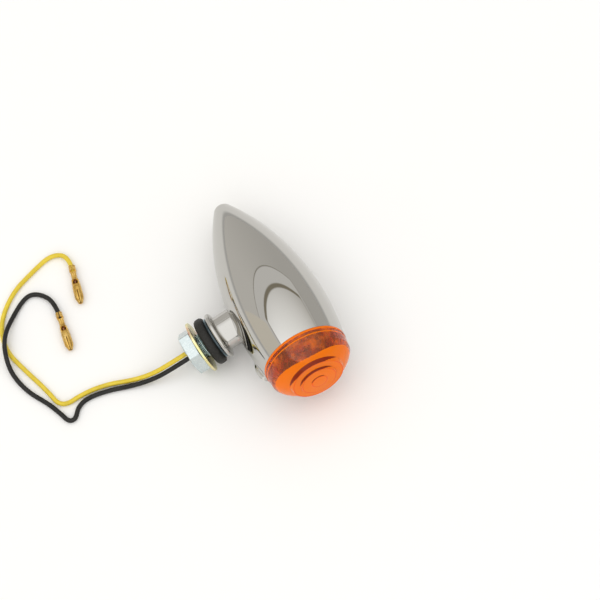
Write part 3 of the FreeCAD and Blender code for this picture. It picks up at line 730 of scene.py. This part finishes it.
def stud(materials):
    """Hollow threaded stud; the part under the ring is a little thicker."""
    rows = [(3.5, 46.5), (3.5, 12.4), (5.3, 12.4), (5.8, 12.9), (5.8, 30.8), (5.98, 30.9)]
    count = int((THREAD_END - THREAD_START) / THREAD_STEP)
    for i in range(count + 1):
        along = THREAD_START + (THREAD_END - THREAD_START) * i / count
        rows.append((5.98 if along < SHOULDER_END else 5.8, along))
    rows += [(5.4, 46.5)]

    def threaded(across, along, angle):
        if across < 5.5:
            return across
        return across - thread_cut(along, angle, THREAD_START, THREAD_END)

    screw = lathe("threaded_stud", rows, "housing", materials["stud_zinc"], STEM,
                  120, shape=threaded, sharp=70)
    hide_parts("hollow_stud")


SPIGOT_END = 32.2


def ring(materials):
    """Rubber ring with rounded edges and a smooth spigot against the flange."""
    points = [(6.9, 30.85), (9.85, 30.85), (10.0, 31.0), (10.0, 31.9), (9.6, 32.1), (9.6, 32.3),
              (10.3, 32.3), (11.1, 32.6), (11.6, 33.3), (11.7, 34.4), (11.6, 35.5), (11.1, 36.3),
              (10.3, 36.65), (6.9, 36.65)]
    body = lathe("rubber_grommet", outline(points, 0.3), "ring",
                 [materials["black_rubber"], materials["gloss_rubber"]], STEM, 160)
    for face, _, along, *_ in turned_faces(body, STEM):
        if along < SPIGOT_END:
            face.material_index = 1
    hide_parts("rubber_ring")


def washer(materials):
    """Flat washer with slightly rounded edges."""
    points = [(6.4, 38.8), (12.45, 38.8), (12.6, 38.95), (12.6, 39.85), (12.45, 40.0), (6.4, 40.0)]
    disc = lathe("washer_disc", outline(points, 0.14), "washer",
                 materials["yellow_zinc"], STEM, 160)
    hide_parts("flat_washer")


NUT_START, NUT_HEIGHT, NUT_FLATS, NUT_BORE = 40.03, 6.0, 19.0, 5.85
NUT_TURN = math.radians(-12)


def hexagon(flats, angle, edge):
    """Radius of a hexagon with rounded corners at an angle; corners lie at 0, 60, 120 degrees."""
    within = (angle + math.pi / 6) % (math.pi / 3) - math.pi / 6
    side = flats / 2 / math.cos(math.pi / 6 - abs(within))
    corner = flats / 2 / math.cos(math.pi / 6) - edge
    return min(side, corner)


BEVEL_DROP, BEVEL_SHARE = 0.55, 0.955
MOUTH_BEVEL = 0.45  # bevel of the threaded hole
FLAT_MARGIN = 0.7  # the full flats stop this far inside both ends
CORNER_EDGE = 0.12  # what the hexagon's corners lose


def hex_nut(name, start, height, flats, turn, bore, body, material):
    """Threaded hexagon nut along the stem, bevelled at both ends."""
    end, mouth = start + height, bore + MOUTH_BEVEL
    bevel = flats / 2 * BEVEL_SHARE
    tall = flats / 2 / math.cos(math.pi / 6)
    flat_start, flat_height = start + FLAT_MARGIN, height - 2 * FLAT_MARGIN
    flat_rows, thread_rows = 8, 60
    rows = [(mouth, start), (bevel, start), (tall, start + BEVEL_DROP)]
    rows += [(tall + 0.1, flat_start + flat_height * i / flat_rows) for i in range(flat_rows + 1)]
    rows += [(tall, end - BEVEL_DROP), (bevel, end), (mouth, end)]
    rows += [(bore, end - MOUTH_BEVEL - (height - 2 * MOUTH_BEVEL) * i / thread_rows)
             for i in range(thread_rows + 1)]

    def shape(across, along, angle):
        if across < bore + 0.2:
            return across + thread_cut(along, angle, start, end) / 2
        if across < bevel - 0.5:
            return across
        return min(across, hexagon(flats, angle - turn, CORNER_EDGE))

    return lathe(name, outline(rows, 0.12), body, material, STEM, 240, shape=shape,
                 sharp=35)


def nut(materials):
    """Mounting nut outside the washer."""
    piece = hex_nut("mounting_nut", NUT_START, NUT_HEIGHT, NUT_FLATS, NUT_TURN, NUT_BORE, "nut",
                    materials["zinc_steel"])
    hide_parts("jam_nut")


# ---------------------------------------------------------------- lens
FLUTES, FLUTE_DEPTH, FLUTE_START, FLUTE_END = 40, 0.18, 1.3, 7.0
SKIRT_INSIDE = (16.6, 17.35)


def flute(across, along, angle):
    """Shallow upright flutes on the inner face of the lens skirt."""
    nearest, furthest = SKIRT_INSIDE
    if nearest < across < furthest and FLUTE_START < along < FLUTE_END:
        return across + FLUTE_DEPTH * math.cos(FLUTES * angle)
    return across


# Thin deeper red lines painted on the flat tops of the steps, just inside each top edge, standing in for the step
# walls refracted through the plastic.
PAINTED_RING_LINES, LINE_HALF_WIDTH = (12.0, 8.15, 3.6), 0.14
# each step of the front: radius at the foot and at the top of its wall, then their heights
STEPS = ((13.1, 12.35, 12.0, 13.75), (9.0, 8.5, 13.95, 14.9), (4.0, 3.8, 15.1, 15.35))
FRONT_START, FRONT_RADIUS = 11.3, 13.2  # the stepped front lies forward of and within these
# The step walls' shade is painted: a darker material on the upper part of each wall, tapering by the angle around
# the lens.
SHADE_MIDDLE, SHADE_LIMIT = math.radians(-90), 0.35  # its middle, and the cosine where it ends
CLEAR_LEAST, CLEAR_EXTRA, CLEAR_MIDDLE = 7.9, 2.8, math.radians(-100)


def clear_height(angle):
    """How far forward the clear skirt reaches: further on the upper side of the lens."""
    return CLEAR_LEAST + CLEAR_EXTRA * max(math.cos(angle - CLEAR_MIDDLE), 0.0) ** 2


def step_height(across, along):
    """Place on the wall of a step, from 0 at its foot to 1 at its top edge."""
    for foot, top, low, high in STEPS:
        if top - 0.2 < across < foot + 0.1:
            return (along - low) / (high - low)
    return 0.0


def shade_height(angle):
    """How much of a step wall is in shade: all of it above, tapering to both sides."""
    share = (math.cos(angle - SHADE_MIDDLE) - SHADE_LIMIT) / (1 - SHADE_LIMIT)
    return 1.3 * max(share, 0.0) ** 0.9


def lens_zone(across, along, angle, radial, axial):
    """Material of a lens face: 0 clear, 1 clouded front and rim, 2 painted shade on the upper part of the step
    walls, 3 painted lines for the step walls refracted through the plastic.
    """
    if along > FRONT_START and across < FRONT_RADIUS and radial > 0.5:
        return 2 if step_height(across, along) < shade_height(angle) else 1
    on_line = any(abs(across - line) < LINE_HALF_WIDTH for line in PAINTED_RING_LINES)
    if along > FRONT_START and axial > 0.6 and on_line:
        return 3
    outer_face = across > SKIRT_INSIDE[0] or axial > 0.3
    rim = across > 19.7 and along < 1.2
    bead = across > 19.6 and 2.3 < along < 3.0
    return 1 if along > clear_height(angle) and outer_face or rim or bead else 0


def lens(materials):
    """Amber dome: spigot and rim, round shoulder, three steps in front, hollow and fluted."""
    points = [(15.9, -7.0), (17.7, -7.0), (17.7, 0.05), (20.0, 0.05), (20.0, 1.1), (19.65, 1.4),
              (19.6, 2.3), (19.8, 2.6), (19.7, 3.0), (19.3, 6.5, 14.0, 40), (13.1, 12.0)]
    points += [(13.1 - 0.125 * i, 12.0 + 0.29 * i) for i in range(1, 6)]
    points += [(12.35, 13.75), (12.12, 13.77), (11.88, 13.78), (9.0, 13.95), (8.875, 14.19),
               (8.75, 14.43), (8.625, 14.66), (8.5, 14.9), (8.27, 14.93), (8.03, 14.94),
               (4.0, 15.1), (3.8, 15.35), (3.72, 15.36), (3.48, 15.38), (0, 15.5)]
    inner = [(0, 13.1), (0.1, 13.1, -43.9, 16), (11.0, 11.7, -12.0, 16), (16.4, 7.6), (16.9, 6.2),
             (17.3, 4.6), (17.3, 1.2)]
    shape = outline(points, 0.12, closed=False) + outline(inner, 0.15, closed=False)
    slots = ("amber_plastic", "amber_front", "amber_deep", "amber_line")
    body = lathe("amber_dome", shape, "lens", [materials[s] for s in slots], LAMP,
                 240, shape=flute)
    for face, across, along, angle, radial, axial in turned_faces(body, LAMP):
        face.material_index = lens_zone(across, along, angle, radial, axial)
    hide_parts("amber_lens")


# ---------------------------------------------------------------- contact spring
SPRING_RADIUS, SPRING_WIRE, SPRING_TURNS = 4.0, 0.35, 2.5
SPRING_FOOT, SPRING_HEAD, CONTACT_TRAVEL = -32.3, -28.1, 1.5


def spring(materials):
    """Coil between the base disc and the contact carrier."""
    steps, around = 150, 12
    margin = SPRING_WIRE + 0.04
    low, high = SPRING_FOOT + margin, SPRING_HEAD - margin
    vertices = []
    for i in range(steps + 1):
        share = i / steps
        angle = 2 * math.pi * SPRING_TURNS * share
        along = low + (high - low) * share * share * (3 - 2 * share)
        for j in range(around):
            turn = 2 * math.pi * j / around
            across = SPRING_RADIUS + SPRING_WIRE * math.cos(turn)
            vertices.append((across * math.cos(angle), across * math.sin(angle),
                             along + SPRING_WIRE * math.sin(turn)))
    faces = ring_faces(steps + 1, around, closed=False)
    faces += [tuple(range(around)), tuple(steps * around + j for j in range(around))]
    coil = new_piece("coil_spring", vertices, faces, "housing",
                     materials["spring_steel"], LAMP)
    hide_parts("contact_spring")
    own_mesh(coil)


# ---------------------------------------------------------------- wire terminals
CRIMP_END, SLEEVE_BORE = 3.8, 1.2
WIRE_CRIMP = 0.3  # the crimp on the bare strands starts here; behind it is the insulation's
SEAM_DENT, SEAM_WIDTH, WING_RISE, WING_WIDTH, WING_PLACE = 0.42, 0.13, 0.12, 0.12, 0.3
BAND_RISE, BAND_PITCH, BAND_START = 0.05, 0.9, 0.8
STRAND_RADIUS, STRAND_RING, STRAND_START, STRAND_END = 0.155, 0.34, 0.3, 6.3
# cuts in a terminal, as opposite corners: window, slit of the bullet, seam of the insulation
# wings, gap between the wings, seam of the wire wings
TERMINAL_CUTS = (((0.9, -2.6, 4.7), (3.5, 2.6, 7.2)), ((0.0, -0.2, 10.4), (3.5, 0.2, 18.5)),
                 ((1.0, -0.17, -3.4), (3.5, 0.17, -0.1)), ((0.85, -1.35, -0.35), (3.5, 1.35, 0.5)),
                 ((0.62, -0.13, 0.4), (3.5, 0.13, 4.0)))


def crimp_dent(across, along, angle):
    """Folded crimp wings: the brass rolls inwards along the seam at angle 0."""
    if across < SLEEVE_BORE or along > CRIMP_END:
        return across
    aside = abs(math.sin(angle / 2))
    dent = SEAM_DENT * math.exp(-(aside / SEAM_WIDTH) ** 2)
    wings = WING_RISE * math.exp(-((aside - WING_PLACE) / WING_WIDTH) ** 2)
    band = BAND_RISE * math.cos(2 * math.pi * along / BAND_PITCH) if along > BAND_START else 0.0
    return across + (wings - dent + band) * (0.6 if along > WIRE_CRIMP else 1.0)


def terminal(colour, route, materials):
    """Crimped bullet terminal on the end of a wire, with bare strands in its window."""
    heading = (Vector(route[-1]) - Vector(route[-2])).normalized()
    place = frame_matrix(UP, heading.cross(UP), heading, Vector(route[-1]) * MM)
    outside = [(1.13, -3.2), (1.62, -3.2), (1.7, -0.3), (1.45, 0.3), (1.3, 0.9), (1.3, 3.6),
               (1.75, 4.6), (2.0, 8.0), (2.1, 8.6), (2.1, 13.8), (1.8, 15.0, -6.0, 6),
               (1.1, 16.8), (0.6, 16.8)]
    inside = [(0.6, 16.1), (1.5, 14.4), (1.5, 5.2), (0.5, 4.2), (0.5, 0.25), (1.13, 0.05)]
    name = colour + "_bullet"
    body = lathe(name, outline(outside + inside, 0.1), "housing", materials["brass"],
                 place, 72, shape=crimp_dent)
    for low, high in TERMINAL_CUTS:
        carve(body, block(name + "_cut", low, high, place))
    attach(body, "housing")
    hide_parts(colour + "_terminal")
    strands = []
    ring_angles = [i * math.pi / 3 for i in range(6)]
    spots = [(0, 0)] + [(STRAND_RING * math.cos(a), STRAND_RING * math.sin(a)) for a in ring_angles]
    for i, (x, y) in enumerate(spots):
        spot = Matrix.Translation(Vector((x, y, 0)) * MM)
        tip = STRAND_END - 0.15 * i
        rows = outline([(0, STRAND_START), (STRAND_RADIUS, STRAND_START), (STRAND_RADIUS, tip - 0.1),
                        (0, tip)], 0.05, closed=False)
        strands.append(lathe("%s_strand_%d" % (colour, i), rows, "housing",
                             materials["copper"], place @ spot, 12, closed=False))
    return [body] + strands


# ---------------------------------------------------------------- stage
FLOOR_REACH = 3.0
FADE_START, FADE_END = 0.25, 0.5
FAR_FLOOR = (0.55, 0.55, 0.55, 1)


def add_floor():
    """Pale matt table top that turns grey away from the lamp."""
    mesh = bpy.data.meshes.new("floor")
    corners = [(x * FLOOR_REACH, y * FLOOR_REACH, 0) for x, y in ((-1, -1), (1, -1), (1, 1), (-1, 1))]
    mesh.from_pydata(corners, [], [(0, 1, 2, 3)])
    floor = bpy.data.objects.new("floor", mesh)
    scene.collection.objects.link(floor)
    m = Nodes("pale_floor")
    m.set(Roughness=0.9)
    near = m.ramp(m.noise(3.0), [(0.3, (0.92, 0.92, 0.92)), (0.7, (0.94, 0.94, 0.94))])
    distance = m.add("VectorMath", operation="LENGTH")
    m.join(m.add("TexCoord").outputs["Object"], distance.inputs[0])
    away = m.ease(distance.outputs["Value"], FADE_START, FADE_END)
    m.join(m.blend(away, near, FAR_FLOOR), m.shader.inputs["Base Color"])
    mesh.materials.append(m.material)


def grey(level, warmth=0.03):
    """Grey that leans to a warm tone."""
    return (level * (1 + warmth), level, level * (1 - 2 * warmth), 1)


def window(graph, across, low, high, along, end, blur=0.012):
    """1 inside a rectangle of a wall that reaches from low to high and up to end, else 0."""
    sides = graph.calc("MULTIPLY", graph.ease(across, low - blur, low + blur),
                       graph.ease(across, high + blur, high - blur))
    return graph.calc("MULTIPLY", sides, graph.ease(along, end + blur, end - blur))


# rectangles of the ceiling around the overhead light, as slopes from the lamp: low, high, end
RAIL, PANEL = (-2.0, 1.55, 1.34), (-1.95, 1.51, 1.31)
SKIRT, LIGHT = (-1.10, 1.35, 0.92), (-1.05, 1.31, 0.84)
LEFT_WALL = (-1.6, 0.66, 0.8)
LEFT_WALL_COLOUR = (0.80, 0.75, 0.65, 1)
HORIZON = 0.02
STUDIO_STRENGTH = 1.1


def add_studio():
    """Studio room around the table: grey walls, a wide soft light overhead, one on the left."""
    world = bpy.data.worlds.new("studio")
    world.use_nodes = True
    room = Graph(world.node_tree)
    parts = room.add("SeparateXYZ")
    room.join(room.add("TexCoord").outputs["Generated"], parts.inputs["Vector"])
    x, y, z = (parts.outputs[axis] for axis in "XYZ")
    height = room.calc("MAXIMUM", z, HORIZON)
    across = room.calc("DIVIDE", x, height)
    slant = room.calc("MULTIPLY", across, 0.08)
    back = room.calc("SUBTRACT", room.calc("DIVIDE", y, height), slant)

    def on_ceiling(place):
        low, high, end = place
        return window(room, across, low, high, back, end)

    tint = room.blend(room.ease(x, -0.5, 0.6), grey(0.70), grey(0.57))
    tint = room.blend(on_ceiling(RAIL), tint, grey(0.28, 0.08))
    tint = room.blend(on_ceiling(PANEL), tint, grey(0.75, 0.02))
    tint = room.blend(on_ceiling(SKIRT), tint, grey(0.26, 0.12))
    light = room.blend(room.ease(across, -1.1, 1.3), grey(1.65, 0.0), grey(0.76))
    light = room.blend(room.ease(back, 1.3, 0.3), grey(0.55), light)
    tint = room.blend(on_ceiling(LIGHT), tint, light)
    left = room.calc("MULTIPLY", room.calc("MINIMUM", x, -HORIZON), -1.0)
    low, high, end = LEFT_WALL
    side = window(room, room.calc("DIVIDE", y, left), low, high, room.calc("DIVIDE", z, left), end)
    tint = room.blend(side, tint, LEFT_WALL_COLOUR)
    background = world.node_tree.nodes["Background"]
    background.inputs["Strength"].default_value = STUDIO_STRENGTH
    room.join(tint, background.inputs["Color"])
    scene.world = world


# ---------------------------------------------------------------- the lamp put together
add_camera()
materials = make_materials()
dress_cad(materials)
for colour, route, length in (("yellow", YELLOW_ROUTE, 0.176), ("black", BLACK_ROUTE, 0.170)):
    wire = add_wire(colour, route, terminal(colour, route, materials))
    wire.data.materials.append(materials[colour + "_pvc"])
for build in (bullet, stem, stud, ring, washer, nut, lens, spring):
    build(materials)
add_floor()
add_studio()
